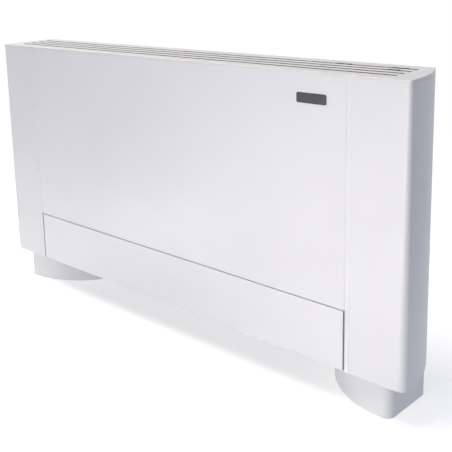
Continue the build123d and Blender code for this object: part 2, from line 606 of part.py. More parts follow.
def water_header(level, socket_x, name):
    """Distributor block, pipe and socket for one end of the coil."""
    y, z = coil_yz(0, level)
    with BuildPart() as header:
        with BuildSketch(coil_plane(BLOCK_X[0])):
            with Locations((0, level)):
                RectangleRounded(ROW_PITCH * 2, 20, 6)
        extrude(amount=BLOCK_X[1] - BLOCK_X[0])
        rod_x(socket_x, BLOCK_X[0], y, z, 8)
        with Locations((socket_x, y, z)):
            Sphere(8)
        rod_z(socket_x, y, SOCKET_UNDER + THREAD_DEPTH + 4, z, 8)
        with BuildSketch(Plane.XY.offset(SOCKET_UNDER)):
            with Locations((socket_x, y)):
                RegularPolygon(SOCKET_RADIUS, 6)
        extrude(amount=THREAD_DEPTH + 4)
        rod_z(socket_x, y, SOCKET_UNDER - 1, SOCKET_UNDER + THREAD_DEPTH, THREAD_RADIUS, Mode.SUBTRACT)
        if level > 0:
            rod_z(BLOCK_X[0] + 9, y, z, z + 24, 6)
            rod_z(BLOCK_X[0] + 9, y, z + 12, z + 26, 2.5 + RUNNING, Mode.SUBTRACT)
    save(header, name)
    return y, z


water_header(LEVELS[0], FLOW_X, "header_flow")
RETURN_YZ = water_header(LEVELS[-1], RETURN_X, "header_return")

VENT_X = BLOCK_X[0] + 9
VENT_Z = RETURN_YZ[1] + 24
with BuildPart() as air_vent_knob:
    rod_z(VENT_X, RETURN_YZ[0], VENT_Z - 10, VENT_Z + 4, 2.5)
    with BuildSketch(Plane.XY.offset(VENT_Z + CLEAR)):
        with Locations((VENT_X, RETURN_YZ[0])):
            Circle(7)
            with PolarLocations(7.6, 6):
                Circle(2, mode=Mode.SUBTRACT)
    extrude(amount=8)
save(air_vent_knob, "air_vent_knob")

# ---- drain tray under the coil, with a spigot at its left end ----
SPIGOT = (-PLATE_X - 22, -30.0)
with BuildPart() as drain_tray:
    block(-PLATE_X - 34, PLATE_X + 8, *TRAY)
    fillet(drain_tray.edges().filter_by(Axis.Z), 4)
    block(-PLATE_X - 32, PLATE_X + 6, TRAY[0] + 2, TRAY[1] - 2, TRAY[2] + 2, TRAY[3] + 1, Mode.SUBTRACT)
    rod_z(*SPIGOT, TRAY[2] - 1, TRAY[2] + 3, 6, Mode.SUBTRACT)
save(drain_tray, "drain_tray")

with BuildPart() as drain_spigot:
    rod_z(*SPIGOT, TRAY[2] - 26, TRAY[2], 8)
    rod_z(*SPIGOT, TRAY[2] - 3, TRAY[2], 11)
    rod_z(*SPIGOT, TRAY[2] - 27, TRAY[2] + 1, 6, Mode.SUBTRACT)
save(drain_spigot, "drain_spigot")

# ---- air filter across the intake: drops out between the feet ----
FILTER_X = 352.0
FILTER_Y = (-40.0, 50.0)
FILTER_Z = (BASE + 3, BASE + 12)
with BuildPart() as filter_frame:
    block(-FILTER_X, FILTER_X, *FILTER_Y, *FILTER_Z)
    fillet(filter_frame.edges().filter_by(Axis.Z), 6)
    cell = (2 * FILTER_X - 10) / 6
    for n in range(6):
        x = -FILTER_X + 8 + n * cell
        block(x, x + cell - 6, FILTER_Y[0] + 8, FILTER_Y[1] - 8,
              FILTER_Z[0] - 1, FILTER_Z[1] + 1, Mode.SUBTRACT)
    block(-FILTER_X + 4, FILTER_X - 4, FILTER_Y[0] + 4, FILTER_Y[1] - 4,
          FILTER_Z[0] + 4, FILTER_Z[0] + 5, Mode.SUBTRACT)
    for x in (-FILTER_X / 2, FILTER_X / 2):
        block(x - 15, x + 15, FILTER_Y[0] - 5, FILTER_Y[0], FILTER_Z[0], FILTER_Z[0] + 3)
save(filter_frame, "filter_frame")

with BuildPart() as filter_mesh:
    block(-FILTER_X + 4, FILTER_X - 4, FILTER_Y[0] + 4, FILTER_Y[1] - 4, FILTER_Z[0] + 4, FILTER_Z[0] + 5)
save(filter_mesh, "filter_mesh")

with BuildPart() as filter_guides:
    for side in (-1, 1):
        ends = (side * (FILTER_X + 1), side * (FILTER_X + 3))
        block(min(ends), max(ends), FILTER_Y[0], FILTER_Y[1], BASE + 3, BASE + 20)
        shelf = (side * (FILTER_X - 4), side * (PLATE_X - 1))
        block(min(shelf), max(shelf), FILTER_Y[0], FILTER_Y[1], BASE + 13, BASE + 15)
    block(-FILTER_X, FILTER_X, FILTER_Y[1] + 1, CHASSIS_FRONT - CHASSIS_FLANGE, BASE + 13, BASE + 14.5)
save(filter_guides, "filter_guides")

# ---- controls under the lid ----
PANEL_BOX_X = (LID_START + 6, GRILLE_END - 6)
PANEL_BOX_Y = (SLOT_YS[0] - 3, SLOT_YS[3] + 2)
FASCIA_Z = TOP - 28
with BuildPart() as control_housing:
    block(*PANEL_BOX_X, *PANEL_BOX_Y, FASCIA_Z - 40, FASCIA_Z + 14)
    fillet(control_housing.edges().filter_by(Axis.Z), 4)
    block(PANEL_BOX_X[0] + 2, PANEL_BOX_X[1] - 2, PANEL_BOX_Y[0] + 2, PANEL_BOX_Y[1] - 2,
          FASCIA_Z, FASCIA_Z + 15, Mode.SUBTRACT)
    block(PANEL_BOX_X[0] + 5, PANEL_BOX_X[1] - 5, PANEL_BOX_Y[0] + 5, PANEL_BOX_Y[1] - 5,
          FASCIA_Z - 38, FASCIA_Z + 1, Mode.SUBTRACT)
    for x in (PANEL_BOX_X[0] + 10, PANEL_BOX_X[1] - 30):
        block(x, x + 20, PANEL_BOX_Y[1], CHASSIS_FRONT, FASCIA_Z - 40, FASCIA_Z - 37)
save(control_housing, "control_housing")

SPINDLE_RADIUS = 3.0
KNOB_Y = -14.0
KNOB_XS = {"fan_speed_knob": PANEL_BOX_X[0] + 40, "thermostat_knob": PANEL_BOX_X[0] + 95}
ROCKER_X = PANEL_BOX_X[1] - 32
ROCKER_SIZE = (20.0, 13.0)
ROCKER_PIN = 1.2
ROCKER_Z = FASCIA_Z - 2
with BuildPart() as control_fascia:
    block(PANEL_BOX_X[0] + 2, PANEL_BOX_X[1] - 2, PANEL_BOX_Y[0] + 2, PANEL_BOX_Y[1] - 2,
          FASCIA_Z, FASCIA_Z + 2)
    for x in KNOB_XS.values():
        rod_z(x, KNOB_Y, FASCIA_Z + 2, FASCIA_Z + 2.6, 17)
        rod_z(x, KNOB_Y, FASCIA_Z - 1, FASCIA_Z + 4, SPINDLE_RADIUS + 0.08, Mode.SUBTRACT)
    half_x, half_y = ROCKER_SIZE[0] / 2 + 0.5, ROCKER_SIZE[1] / 2 + 0.9
    block(ROCKER_X - half_x - 2, ROCKER_X + half_x + 2, KNOB_Y - half_y - 2, KNOB_Y + half_y + 2,
          FASCIA_Z - 6, FASCIA_Z + 3)
    block(ROCKER_X - half_x, ROCKER_X + half_x, KNOB_Y - half_y, KNOB_Y + half_y,
          FASCIA_Z - 7, FASCIA_Z + 4, Mode.SUBTRACT)
    rod_x(ROCKER_X - half_x - 1, ROCKER_X + half_x + 1, KNOB_Y, ROCKER_Z,
          ROCKER_PIN + PIVOT_PLAY, Mode.SUBTRACT)
save(control_fascia, "control_fascia")

for name, x in KNOB_XS.items():
    with BuildPart() as knob:
        with BuildSketch(Plane.XY.offset(FASCIA_Z + 3)):
            with Locations((x, KNOB_Y)):
                Circle(14)
                with PolarLocations(14.6, 24):
                    Circle(1.0, mode=Mode.SUBTRACT)
        extrude(amount=9)
        fillet(knob.faces().sort_by(Axis.Z)[-1].edges(), 0.3)
        block(x - 1.2, x + 1.2, KNOB_Y - 12, KNOB_Y, FASCIA_Z + 12, FASCIA_Z + 13)
        rod_z(x, KNOB_Y, FASCIA_Z - 8, FASCIA_Z + 3, SPINDLE_RADIUS)
    save(knob, name)

with BuildPart() as mode_rocker:
    with BuildSketch(Plane.YZ.offset(ROCKER_X - ROCKER_SIZE[0] / 2)):
        with BuildLine():
            half = ROCKER_SIZE[1] / 2
            rim = FASCIA_Z + 3.4
            Polyline((KNOB_Y - half, rim), (KNOB_Y - half + 1.2, ROCKER_Z - 2.5),
                     (KNOB_Y + half - 1.2, ROCKER_Z - 2.5), (KNOB_Y + half, rim))
            ThreePointArc((KNOB_Y + half, rim), (KNOB_Y, rim - 1.4), (KNOB_Y - half, rim))
        make_face()
    extrude(amount=ROCKER_SIZE[0])
    rod_x(ROCKER_X - ROCKER_SIZE[0] / 2 - 1.2, ROCKER_X + ROCKER_SIZE[0] / 2 + 1.2, KNOB_Y, ROCKER_Z,
          ROCKER_PIN)
save(mode_rocker, "mode_rocker")

# ---- electrical box below the controls ----
BOX_X = (PLATE_X + 30, PLATE_X + 168)
BOX_Y = (-38.0, 50.0)
BOX_Z = (BASE + 230, BASE + 390)
BOX_SHEET = 1.5
GLAND = (BOX_X[0] + 70, 10.0)
TERMINAL_COUNT = 8
TERMINAL_PITCH = 12.0
with BuildPart() as electrical_box:
    block(*BOX_X, *BOX_Y, *BOX_Z)
    block(BOX_X[0] + BOX_SHEET, BOX_X[1] - BOX_SHEET, BOX_Y[0] - 1, BOX_Y[1] - BOX_SHEET,
          BOX_Z[0] + BOX_SHEET, BOX_Z[1] - BOX_SHEET, Mode.SUBTRACT)
    rod_z(*GLAND, BOX_Z[0] - 1, BOX_Z[0] + 3, 8, Mode.SUBTRACT)
    for z in (BOX_Z[0] + 20, BOX_Z[1] - 20):
        block(BOX_X[0] + 40, BOX_X[0] + 60, BOX_Y[1], CHASSIS_FRONT, z - 6, z + 6)
save(electrical_box, "electrical_box")

with BuildPart() as electrical_box_lid:
    block(BOX_X[0] - 1, BOX_X[1] + 1, BOX_Y[0] - BOX_SHEET, BOX_Y[0], BOX_Z[0] - 1, BOX_Z[1] + 1)
    fillet(electrical_box_lid.edges().filter_by(Axis.Y), 4)
    for x in (BOX_X[0] + 6, BOX_X[1] - 6):
        for z in (BOX_Z[0] + 6, BOX_Z[1] - 6):
            rod_y(x, BOX_Y[0] - 3, BOX_Y[0] - BOX_SHEET, z, 3.2)
save(electrical_box_lid, "electrical_box_lid")

with BuildPart() as terminal_block:
    for n in range(TERMINAL_COUNT):
        x = BOX_X[0] + 18 + n * TERMINAL_PITCH
        block(x, x + 11, BOX_Y[1] - 23.5, BOX_Y[1] - BOX_SHEET, BOX_Z[0] + 60, BOX_Z[0] + 84)
        rod_y(x + 5.5, BOX_Y[1] - 25, BOX_Y[1] - 20, BOX_Z[0] + 72, 2.5, Mode.SUBTRACT)
save(terminal_block, "terminal_block")

with BuildPart() as motor_capacitor:
    rod_z(BOX_X[0] + 30, 20, BOX_Z[0] + 100, BOX_Z[0] + 150, 14)
    fillet(motor_capacitor.edges().filter_by(GeomType.CIRCLE), 2)
    block(BOX_X[0] + 26, BOX_X[0] + 34, 33, BOX_Y[1] - BOX_SHEET, BOX_Z[0] + 115, BOX_Z[0] + 135)
save(motor_capacitor, "motor_capacitor")

GLAND_BORE = 5.0
with BuildPart() as supply_gland:
    rod_z(*GLAND, BOX_Z[0] - 14, BOX_Z[0], 11)
    rod_z(*GLAND, BOX_Z[0], BOX_Z[0] + 10, 7.9)
    with BuildSketch(Plane.XY.offset(BOX_Z[0] + BOX_SHEET)):
        with Locations(GLAND):
            RegularPolygon(13, 6)
    extrude(amount=4)
    rod_z(*GLAND, BOX_Z[0] - 15, BOX_Z[0] + 11, GLAND_BORE, Mode.SUBTRACT)
save(supply_gland, "supply_gland")

# ---- feet: moulded covers round steel legs with levelling screws ----
FOOT_INSET = 37.0
FOOT_CORNER = 18.0
FOOT_ARC_X = END_X - 56    # the front sweeps back from here
FOOT_FRONT = FRONT + 15
FOOT_SWEEP = 205.0
FOOT_WALL = 3.0
FOOT_GROUND = 1.0


def foot_plan(inset):
    """Plan of the right foot: straight outside, front swept back in one arc."""
    outer = END_X - FOOT_INSET - inset
    radius = FOOT_SWEEP - inset
    centre = (FOOT_ARC_X, FOOT_FRONT + FOOT_SWEEP)
    back = BACK - 2 + 5 * inset

    def swept(y):
        return (centre[0] - sqrt(radius**2 - (y - centre[1]) ** 2), y)

    front = centre[1] - radius
    middle = swept((front + back) / 2 - 20)
    with BuildSketch(Plane.XY, mode=Mode.PRIVATE) as plan:
        with BuildLine():
            Polyline((centre[0], front), (outer, front), (outer, back), swept(back))
            ThreePointArc(swept(back), middle, (centre[0], front))
        make_face()
        corner = plan.vertices().sort_by(lambda v: v.X - v.Y)[-1]
        fillet(corner, FOOT_CORNER - inset)
    return plan.sketch


with BuildPart() as foot_cover:
    with BuildSketch(Plane.XY.offset(FOOT_GROUND)):
        add(foot_plan(0))
        add(foot_plan(FOOT_WALL), mode=Mode.SUBTRACT)
    extrude(amount=BASE - FOOT_GROUND)
    for z in (20, 56):
        block(END_X - FOOT_INSET - 9, END_X - FOOT_INSET - 1, 44, 48, z - 6, z + 6)
save(foot_cover, "foot_cover_right")
mirrored(foot_cover, "foot_cover_left")

LEG_BASE_Z = 16.0
SCREW_YS = (-30.0, 52.0)
SCREW_X = 545.0
SCREW_RADIUS = 4.0
LEG_SCREW_ZS = (BASE + 30, BASE + 70)
with BuildPart() as foot_leg:
    block(*LEG_X, SCREW_YS[0] - 14, CHASSIS_FRONT, LEG_BASE_Z, LEG_BASE_Z + 3)
    block(*LEG_X, CHASSIS_FRONT - 3, CHASSIS_FRONT, LEG_BASE_Z, BASE + 90)
    for x in (LEG_X[0], LEG_X[1] - 2):
        with BuildSketch(Plane.YZ.offset(x)):
            with BuildLine():
                Polyline((CHASSIS_FRONT - 3, LEG_BASE_Z + 3), (SCREW_YS[0] - 10, LEG_BASE_Z + 3),
                         (CHASSIS_FRONT - 3, BASE + 60), close=True)
            make_face()
        extrude(amount=2)
    for y in SCREW_YS:
        rod_z(SCREW_X, y, LEG_BASE_Z - 1, LEG_BASE_Z + 4, SCREW_RADIUS, Mode.SUBTRACT)
    for z in LEG_SCREW_ZS:
        rod_y(SCREW_X, CHASSIS_FRONT - 4, CHASSIS_FRONT + 1, z, 3.3, Mode.SUBTRACT)
save(foot_leg, "foot_leg_right")
mirrored(foot_leg, "foot_leg_left")

SCREW_SPOTS = [(side * SCREW_X, y) for side in (-1, 1) for y in SCREW_YS]
with BuildPart() as levelling_feet:
    for x, y in SCREW_SPOTS:
        rod_z(x, y, 0, 6, 15)
        rod_z(x, y, 6, 9, 9)
        rod_z(x, y, 9, LEG_BASE_Z + 14, SCREW_RADIUS)
    fillet(levelling_feet.edges().filter_by(GeomType.CIRCLE).group_by(Axis.Z)[0], 1.2)
save(levelling_feet, "levelling_feet")

with BuildPart() as levelling_nuts:
    for x, y in SCREW_SPOTS:
        for z in (LEG_BASE_Z - 6.5, LEG_BASE_Z + 3):
            with BuildSketch(Plane.XY.offset(z)):
                with Locations((x, y)):
                    RegularPolygon(7.5, 6)
                    Circle(SCREW_RADIUS, mode=Mode.SUBTRACT)
            extrude(amount=6.5 if z > LEG_BASE_Z else 5)
save(levelling_nuts, "levelling_nuts")

# ---- screws ----
with BuildPart() as leg_screws:
    for side in (-1, 1):
        for z in LEG_SCREW_ZS:
            rod_y(side * SCREW_X, CHASSIS_FRONT - 8, CHASSIS_FRONT - 3, z, 6)
            rod_y(side * SCREW_X, CHASSIS_FRONT - 3, CHASSIS_FRONT, z, 3.2)
save(leg_screws, "leg_screws")

CHASSIS_SCREW_ROWS = 5
CHASSIS_SCREW_PITCH = 95.0
with BuildPart() as chassis_screws:
    for side in (-1, 1):
        for n in range(CHASSIS_SCREW_ROWS):
            x = side * (PLATE_X + PLATE_SHEET + 6)
            z = BASE + 130 + n * CHASSIS_SCREW_PITCH
            rod_y(x, CHASSIS_BACK, CHASSIS_BACK + 1.5, z, 4.5)
    fillet(chassis_screws.edges().filter_by(GeomType.CIRCLE).group_by(Axis.Y)[-1], 0.8)
save(chassis_screws, "chassis_screws")
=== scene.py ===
import json
import math

import bmesh
import bpy
from mathutils import Matrix, Vector


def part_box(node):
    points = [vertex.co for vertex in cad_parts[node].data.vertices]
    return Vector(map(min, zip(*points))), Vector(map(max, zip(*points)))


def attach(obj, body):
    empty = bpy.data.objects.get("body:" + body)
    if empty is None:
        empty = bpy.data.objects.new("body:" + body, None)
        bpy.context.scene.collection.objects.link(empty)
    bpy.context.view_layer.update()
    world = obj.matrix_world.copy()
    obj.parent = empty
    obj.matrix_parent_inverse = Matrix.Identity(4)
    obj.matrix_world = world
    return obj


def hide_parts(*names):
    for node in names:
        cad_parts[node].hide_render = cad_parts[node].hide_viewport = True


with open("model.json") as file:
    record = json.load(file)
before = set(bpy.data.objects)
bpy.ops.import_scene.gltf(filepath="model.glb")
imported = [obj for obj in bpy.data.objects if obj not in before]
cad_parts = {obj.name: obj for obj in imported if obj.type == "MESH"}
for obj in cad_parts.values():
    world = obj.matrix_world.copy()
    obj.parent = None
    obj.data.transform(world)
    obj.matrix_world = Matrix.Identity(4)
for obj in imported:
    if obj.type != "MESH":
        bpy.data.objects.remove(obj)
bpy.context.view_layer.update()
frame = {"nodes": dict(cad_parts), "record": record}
NODES = frame["nodes"]
BODIES = frame["record"]["behaviour"]["bodies"]
BODY_OF = {node: body for body, members in BODIES.items() for node in members}

# =====================================================================
# Materials
# =====================================================================


class Finish:
    """One procedural material: a shader and the nodes that vary it over the surface."""

    def __init__(self, name, colour, roughness, metallic=0.0, **sockets):
        self.material = bpy.data.materials.new(name)
        self.material.use_nodes = True
        self.tree = self.material.node_tree
        self.shader = self.tree.nodes["Principled BSDF"]
        self.shader.inputs["Base Color"].default_value = (*colour, 1)
        self.shader.inputs["Roughness"].default_value = roughness
        self.shader.inputs["Metallic"].default_value = metallic
        for socket, value in sockets.items():
            self.shader.inputs[socket.replace("_", " ")].default_value = value
        self.place = self.tree.nodes.new("ShaderNodeTexCoord").outputs["Object"]

    def stretched(self, scale):
        """Object coordinates with a scale of their own along each axis."""
        mapping = self.tree.nodes.new("ShaderNodeMapping")
        mapping.inputs["Scale"].default_value = scale
        self.tree.links.new(self.place, mapping.inputs["Vector"])
        return mapping.outputs["Vector"]

    def noise(self, scale, detail=3.0, where=None):
        """Soft noise with about this many changes in a metre."""
        node = self.tree.nodes.new("ShaderNodeTexNoise")
        node.inputs["Scale"].default_value = scale
        node.inputs["Detail"].default_value = detail
        self.tree.links.new(where or self.place, node.inputs["Vector"])
        return node.outputs["Fac"]

    def cells(self, scale, output="Distance"):
        """Crystal-like cells, about this many in a metre."""
        node = self.tree.nodes.new("ShaderNodeTexVoronoi")
        node.inputs["Scale"].default_value = scale
        self.tree.links.new(self.place, node.inputs["Vector"])
        return node.outputs[output]

    def ramp(self, value, low, high, ends):
        """Maps the part of a texture value between two ends to a range from low to high."""
        node = self.tree.nodes.new("ShaderNodeMapRange")
        node.inputs["From Min"].default_value = ends[0]
        node.inputs["From Max"].default_value = ends[1]
        node.inputs["To Min"].default_value = low
        node.inputs["To Max"].default_value = high
        self.tree.links.new(value, node.inputs["Value"])
        return node.outputs["Result"]

    def blended(self, factor, first, second):
        """A colour between two, by a texture value."""
        node = self.tree.nodes.new("ShaderNodeMix")
        node.data_type = "RGBA"
        self.tree.links.new(factor, node.inputs["Factor"])
        for socket, value in ((node.inputs[6], first), (node.inputs[7], second)):
            if isinstance(value, bpy.types.NodeSocket):
                self.tree.links.new(value, socket)
            else:
                socket.default_value = (*value, 1)
        return node.outputs[2]

    def drive(self, socket, value):
        """Lets a texture value or colour set one of the shader's sockets."""
        self.tree.links.new(value, self.shader.inputs[socket])

    def bump(self, heights):
        """Stacks bump layers: (texture value, depth in metres)."""
        normal = None
        for value, depth in heights:
            node = self.tree.nodes.new("ShaderNodeBump")
            node.inputs["Distance"].default_value = depth
            self.tree.links.new(value, node.inputs["Height"])
            if normal:
                self.tree.links.new(normal, node.inputs["Normal"])
            normal = node.outputs["Normal"]
        self.tree.links.new(normal, self.shader.inputs["Normal"])
        return self


CLOUD_ENDS = (0.35, 0.65)    # the part of a noise that soft clouding uses
GLOSS_ENDS = (0.3, 0.7)      # and the part that varies the roughness


def shade(colour, factor):
    """A colour made darker by a factor."""
    return tuple(c * factor for c in colour)


def powder_coat(name, colour):
    """Satin powder coat on sheet steel: orange peel and faint clouding."""
    finish = Finish(name, colour, 0.4, Coat_Weight=0.12, Coat_Roughness=0.25)
    cloud = finish.ramp(finish.noise(5.0, 5.0), 0.0, 1.0, CLOUD_ENDS)
    finish.drive("Base Color", finish.blended(cloud, shade(colour, 0.975), colour))
    finish.drive("Roughness", finish.ramp(finish.noise(70.0, 4.0), 0.36, 0.47, GLOSS_ENDS))
    return finish.bump([(finish.noise(420.0, 2.0), 0.00010), (finish.noise(1500.0, 2.0), 0.00002)])


def moulded(name, colour, roughness, grain=1400.0, depth=0.00005, spread=0.05):
    """Moulded plastic with a spark-eroded grain and slight handling gloss."""
    finish = Finish(name, colour, roughness)
    cloud = finish.ramp(finish.noise(7.0, 4.0), 0.0, 1.0, CLOUD_ENDS)
    finish.drive("Base Color", finish.blended(cloud, shade(colour, 1 - spread), colour))
    gloss = finish.ramp(finish.noise(45.0, 5.0), roughness - 0.05, roughness + 0.06, GLOSS_ENDS)
    finish.drive("Roughness", gloss)
    return finish.bump([(finish.cells(grain), depth), (finish.noise(260.0, 3.0), depth)])


def galvanised(name):
    """Zinc-coated sheet: spangle crystals that differ in tone and gloss, with white bloom."""
    dark = (0.46, 0.485, 0.51)
    pale = (0.60, 0.63, 0.65)
    bloomed = (0.68, 0.69, 0.70)
    spangle = 140.0
    finish = Finish(name, pale, 0.4, metallic=0.9)
    crystal = finish.cells(spangle, "Color")
    tone = finish.ramp(crystal, 0.0, 1.0, (0.1, 0.9))
    bloom = finish.ramp(finish.noise(14.0, 6.0), 0.0, 0.5, (0.5, 0.8))
    zinc = finish.blended(tone, dark, pale)
    finish.drive("Base Color", finish.blended(bloom, zinc, bloomed))
    finish.drive("Roughness", finish.ramp(crystal, 0.28, 0.52, (0.0, 1.0)))
    return finish.bump([(finish.cells(spangle), 0.00004), (finish.noise(900.0), 0.00003)])


def drawn_metal(name, colour, roughness, along=(4.0, 600.0, 600.0), tarnish=0.75):
    """Rolled or drawn metal: fine lines along the piece and patches of tarnish."""
    finish = Finish(name, colour, roughness, metallic=1.0)
    lines = finish.noise(1.0, 3.0, finish.stretched(along))
    patches = finish.ramp(finish.noise(22.0, 6.0), 0.0, 1.0, (0.35, 0.7))
    finish.drive("Base Color", finish.blended(patches, shade(colour, tarnish), colour))
    finish.drive("Roughness", finish.ramp(lines, roughness - 0.08, roughness + 0.1, GLOSS_ENDS))
    return finish.bump([(lines, 0.00003)])


def matt_rubber(name):
    """Black rubber with a faint grey bloom."""
    colour = (0.022, 0.022, 0.024)
    bloomed = (0.045, 0.044, 0.043)
    finish = Finish(name, colour, 0.75)
    bloom = finish.ramp(finish.noise(60.0, 6.0), 0.0, 1.0, (0.45, 0.7))
    finish.drive("Base Color", finish.blended(bloom, colour, bloomed))
    return finish.bump([(finish.noise(1800.0), 0.00005)])


def foam(name):
    """Open-cell acoustic foam, with painted shade darkening the pores towards their deepest point."""
    colour = (0.035, 0.036, 0.038)
    pore_shade_colour = (0.012, 0.012, 0.013)
    finish = Finish(name, colour, 0.95, Sheen_Weight=0.25, Sheen_Roughness=0.6)
    pores = finish.cells(420.0)
    # Painted shade: each pore is darker the deeper it lies.
    depth = finish.ramp(pores, 0.0, 1.0, (0.0, 0.7))
    finish.drive("Base Color", finish.blended(depth, pore_shade_colour, colour))
    return finish.bump([(pores, 0.0006), (finish.noise(90.0), 0.0003)])


def woven_mesh(name):
    """Filter cloth: crossed threads with painted shade in the holes between them, dust in patches."""
    thread = (0.10, 0.105, 0.115)
    # Painted shade: the colour of the shaded inside, seen through the holes between the threads.
    hole_shade = (0.01, 0.01, 0.012)
    dusty = (0.2, 0.19, 0.175)
    finish = Finish(name, thread, 0.8, Sheen_Weight=0.2)
    waves = []
    for direction in ("X", "Y"):
        wave = finish.tree.nodes.new("ShaderNodeTexWave")
        wave.bands_direction = direction
        wave.inputs["Scale"].default_value = 160.0
        finish.tree.links.new(finish.place, wave.inputs["Vector"])
        waves.append(wave.outputs["Fac"])
    crossing = finish.tree.nodes.new("ShaderNodeMath")
    crossing.operation = "MAXIMUM"
    for wave, socket in zip(waves, crossing.inputs):
        finish.tree.links.new(wave, socket)
    weave = crossing.outputs["Value"]
    dust = finish.ramp(finish.noise(30.0, 6.0), 0.0, 0.6, (0.45, 0.75))
    cloth = finish.blended(finish.ramp(weave, 0.0, 1.0, (0.4, 0.9)), hole_shade, thread)
    finish.drive("Base Color", finish.blended(dust, cloth, dusty))
    return finish.bump([(weave, 0.0003)])


WHITE = (0.80, 0.80, 0.815)
# Moulded finishes: name, colour, roughness, then the scale of the grain, its depth and the clouding
FINISHES = {
    "panel_paint": powder_coat("panel_paint", WHITE),
    "cover_plastic": moulded("cover_plastic", (0.80, 0.80, 0.81), 0.42, 1800.0, 0.00002, 0.02),
    "grille_plastic": moulded("grille_plastic", (0.82, 0.805, 0.775), 0.45, 1800.0, 0.00002, 0.03),
    "strip_plastic": moulded("strip_plastic", (0.825, 0.825, 0.835), 0.32, 2200.0, 0.00001, 0.01),
    "badge": drawn_metal("badge", (0.10, 0.10, 0.11), 0.35, (700.0, 700.0, 6.0), 0.8),
    "foam": foam("foam"),
    "filter_cloth": woven_mesh("filter_cloth"),
    "aluminium": drawn_metal("aluminium", (0.72, 0.73, 0.74), 0.35),
    "copper": drawn_metal("copper", (0.75, 0.36, 0.22), 0.3, tarnish=0.6),
    "brass": drawn_metal("brass", (0.76, 0.56, 0.25), 0.32, tarnish=0.7),
    "bright_steel": drawn_metal("bright_steel", (0.62, 0.63, 0.64), 0.28, (300.0, 300.0, 300.0)),
    "motor_steel": moulded("motor_steel", (0.045, 0.047, 0.052), 0.38, 900.0, 0.00006, 0.3),
    "galvanised": galvanised("galvanised"),
    "rubber": matt_rubber("rubber"),
    "black_plastic": moulded("black_plastic", (0.018, 0.018, 0.02), 0.42, 1500.0, 0.00005, 0.3),
    "grey_plastic": moulded("grey_plastic", (0.30, 0.31, 0.32), 0.5, 1300.0, 0.00006, 0.12),
    "mark_white": moulded("mark_white", (0.75, 0.75, 0.74), 0.5, 2500.0, 0.00001, 0.06),
}

for part in frame["record"]["subparts"]:
    mesh = NODES[part["node"]].data
    mesh.materials.clear()
    mesh.materials.append(FINISHES[part["material_slot"]].material)

# =====================================================================
# Pieces made here
# =====================================================================


def made_mesh(name, shape):
    """Turns a bmesh into a softly shaded mesh."""
    mesh = bpy.data.meshes.new(name)
    shape.to_mesh(mesh)
    shape.free()
    mesh.shade_smooth()
    return mesh


def add_piece(name, shape, slot, body):
    """Makes a finished bmesh one piece, with its folds sharp, that rides on a body."""
    mesh = made_mesh(name, shape)
    mesh.set_sharp_from_angle(angle=math.radians(35))
    piece = bpy.data.objects.new(name, mesh)
    bpy.context.scene.collection.objects.link(piece)
    mesh.materials.append(FINISHES[slot].material)
    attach(piece, body)
    return piece


def between(low, high, share):
    """The value at a share of the way from low to high."""
    return low + (high - low) * share


def vertex_grid(shape, columns, rows, point):
    """Vertices at point(column share, row share), as a list of columns."""
    return [[shape.verts.new(point(i / columns, k / rows)) for k in range(rows + 1)]
            for i in range(columns + 1)]


def grid_faces(shape, grid):
    """Fills a grid of vertices, or two lines of them, with four-sided faces."""
    for line, following in zip(grid, grid[1:]):
        for k in range(len(line) - 1):
            shape.faces.new((line[k], following[k], following[k + 1], line[k + 1]))


def vertex_ring(shape, radius, spokes, height_at, place):
    """Vertices round the Z axis of a placement, each at its own height."""
    ring = []
    for spoke in range(spokes):
        angle = math.tau * spoke / spokes
        x, y = radius * math.cos(angle), radius * math.sin(angle)
        ring.append(shape.verts.new(place @ Vector((x, y, height_at(x, y)))))
    return ring


def ring_faces(shape, inner, outer):
    """Joins a ring to the ring inside it, or to a single vertex in the middle."""
    for spoke, vert in enumerate(outer):
        after = (spoke + 1) % len(outer)
        if len(inner) == 1:
            shape.faces.new((inner[0], vert, outer[after]))
        else:
            shape.faces.new((inner[spoke], vert, outer[after], inner[after]))


# Insulation

EGG_PITCH = 0.022
EGG_STEPS = 4              # vertices along one pitch
EGG_VALLEY = 0.45          # thickness of the valleys as a share of the peaks'
RIM_SHARE = 0.25           # thickness at the edge as a share of the full one
RIM_WIDTH = 0.012          # from there it would grow by a full thickness over this width
SKIN = 0.0004              # the least thickness, and the gap left at the peaks


def insulation_blanket():
    """Egg-crate foam behind the front panel, thinned along its edges."""
    low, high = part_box("front_insulation")
    columns = int((high.x - low.x) / EGG_PITCH) * EGG_STEPS
    rows = int((high.z - low.z) / EGG_PITCH) * EGG_STEPS

    def flat_side(u, v):
        return (between(low.x, high.x, u), low.y, between(low.z, high.z, v))

    def egg_side(u, v):
        x, y, z = flat_side(u, v)
        rim = min(x - low.x, high.x - x, z - low.z, high.z - z)
        wave = 0.5 + 0.5 * math.cos(math.tau * x / EGG_PITCH) * math.cos(math.tau * z / EGG_PITCH)
        crown = min(1.0, RIM_SHARE + rim / RIM_WIDTH)
        full = high.y - low.y - 2 * SKIN
        return (x, y + SKIN + full * crown * between(EGG_VALLEY, 1.0, wave), z)

    shape = bmesh.new()
    front = vertex_grid(shape, columns, rows, flat_side)
    rear = vertex_grid(shape, columns, rows, egg_side)
    grid_faces(shape, front)
    grid_faces(shape, rear)
    for k in (0, rows):
        grid_faces(shape, [[line[k] for line in front], [line[k] for line in rear]])
    for i in (0, columns):
        grid_faces(shape, [front[i], rear[i]])
    bmesh.ops.recalc_face_normals(shape, faces=shape.faces)
    blanket = add_piece("insulation_blanket", shape, "foam", BODY_OF["front_insulation"])
    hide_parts("front_insulation")


# Filter cloth

FILTER_CELLS = 6           # fields of cloth between the frame's bars
CLOTH_GRID = (120, 20)
PUFF = 0.4                 # rise of the cloth, as a share of the height of its groove


